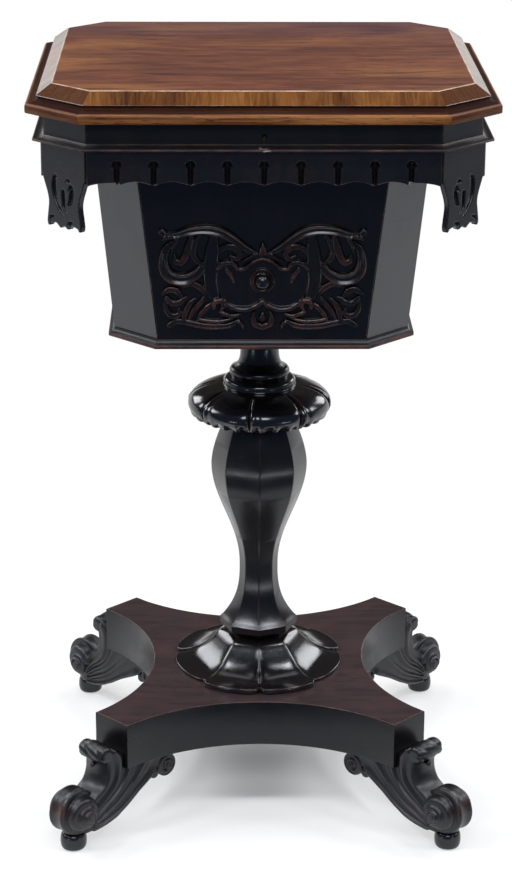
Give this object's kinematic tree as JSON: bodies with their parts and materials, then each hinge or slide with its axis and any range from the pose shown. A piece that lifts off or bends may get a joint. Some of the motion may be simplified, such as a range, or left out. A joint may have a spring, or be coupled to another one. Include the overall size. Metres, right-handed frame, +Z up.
{
  "type": "work table",
  "caption": "Pedestal work table: canted octagonal box with hinged lid over a tapering work well, carved cartouche, lobed column, hollow-sided platform and scroll feet.",
  "frame": {"origin": "on the floor under the middle of the column", "axes": "+Z up, front with the keyhole towards -Y, +X to the right seen from the front"},
  "size_m": [0.4392, 0.4278, 0.762],
  "materials": {
    "rosewood": "polished, figured red-brown",
    "dark_wood": "aged near-black polish",
    "platform_wood": "worn dark red-brown polish",
    "brass": "dulled",
    "iron": "dark oiled",
    "inside_wood": "thin satin polish",
    "lining": "pasted cloth"
  },
  "bodies": {
    "table": {"apron_back": "dark_wood", "apron_front": "dark_wood", "apron_left": "dark_wood", "apron_right": "dark_wood", "base_platform": "platform_wood", "bearer_block": "dark_wood", "carving_boss": "dark_wood", "case_floor": "inside_wood", "column_baluster": "dark_wood", "column_collar": "dark_wood", "column_lotus": "dark_wood", "column_neck": "dark_wood", "corner_post_back_left": "dark_wood", "corner_post_back_right": "dark_wood", "corner_post_front_left": "dark_wood", "corner_post_front_right": "dark_wood", "foot_back_left": "dark_wood", "foot_back_right": "dark_wood", "foot_front_left": "dark_wood", "foot_front_right": "dark_wood", "foot_pad_back_left": "dark_wood", "foot_pad_back_right": "dark_wood", "foot_pad_front_left": "dark_wood", "foot_pad_front_right": "dark_wood", "frieze_back": "dark_wood", "frieze_front": "dark_wood", "frieze_left": "dark_wood", "frieze_moulding": "dark_wood", "frieze_right": "dark_wood", "front_carving": "dark_wood", "gallery_back": "inside_wood", "gallery_front": "inside_wood", "gallery_left": "inside_wood", "gallery_right": "inside_wood", "hinge_case_leaf_left": "brass", "hinge_case_leaf_right": "brass", "hinge_pin_left": "iron", "hinge_pin_right": "iron", "lock_case": "brass", "partition_back_left": "inside_wood", "partition_back_right": "inside_wood", "partition_front_left": "inside_wood", "partition_front_right": "inside_wood", "well_back": "dark_wood", "well_base": "dark_wood", "well_corner_back_left": "dark_wood", "well_corner_back_right": "dark_wood", "well_corner_front_left": "dark_wood", "well_corner_front_right": "dark_wood", "well_front": "dark_wood", "well_left": "dark_wood", "well_right": "dark_wood"},
    "lid": {"lid_top": "rosewood", "lid_moulding": "rosewood", "lid_lining": "lining", "lock_strike": "brass", "hinge_lid_leaf_left": "brass", "hinge_lid_leaf_right": "brass"},
    "lock_bolt": {"lock_bolt": "iron"}
  },
  "joints": [
    {"name": "lid_hinge", "type": "hinge", "parent": "table", "child": "lid", "pos_m": [0, 0.1911, 0.73535], "axis": [-1, 0, 0], "range_deg": [0, 95]},
    {"name": "lock_bolt_slide", "type": "slide", "parent": "table", "child": "lock_bolt", "axis": [1, 0, 0], "range_m": [0, 0.005]}
  ]
}
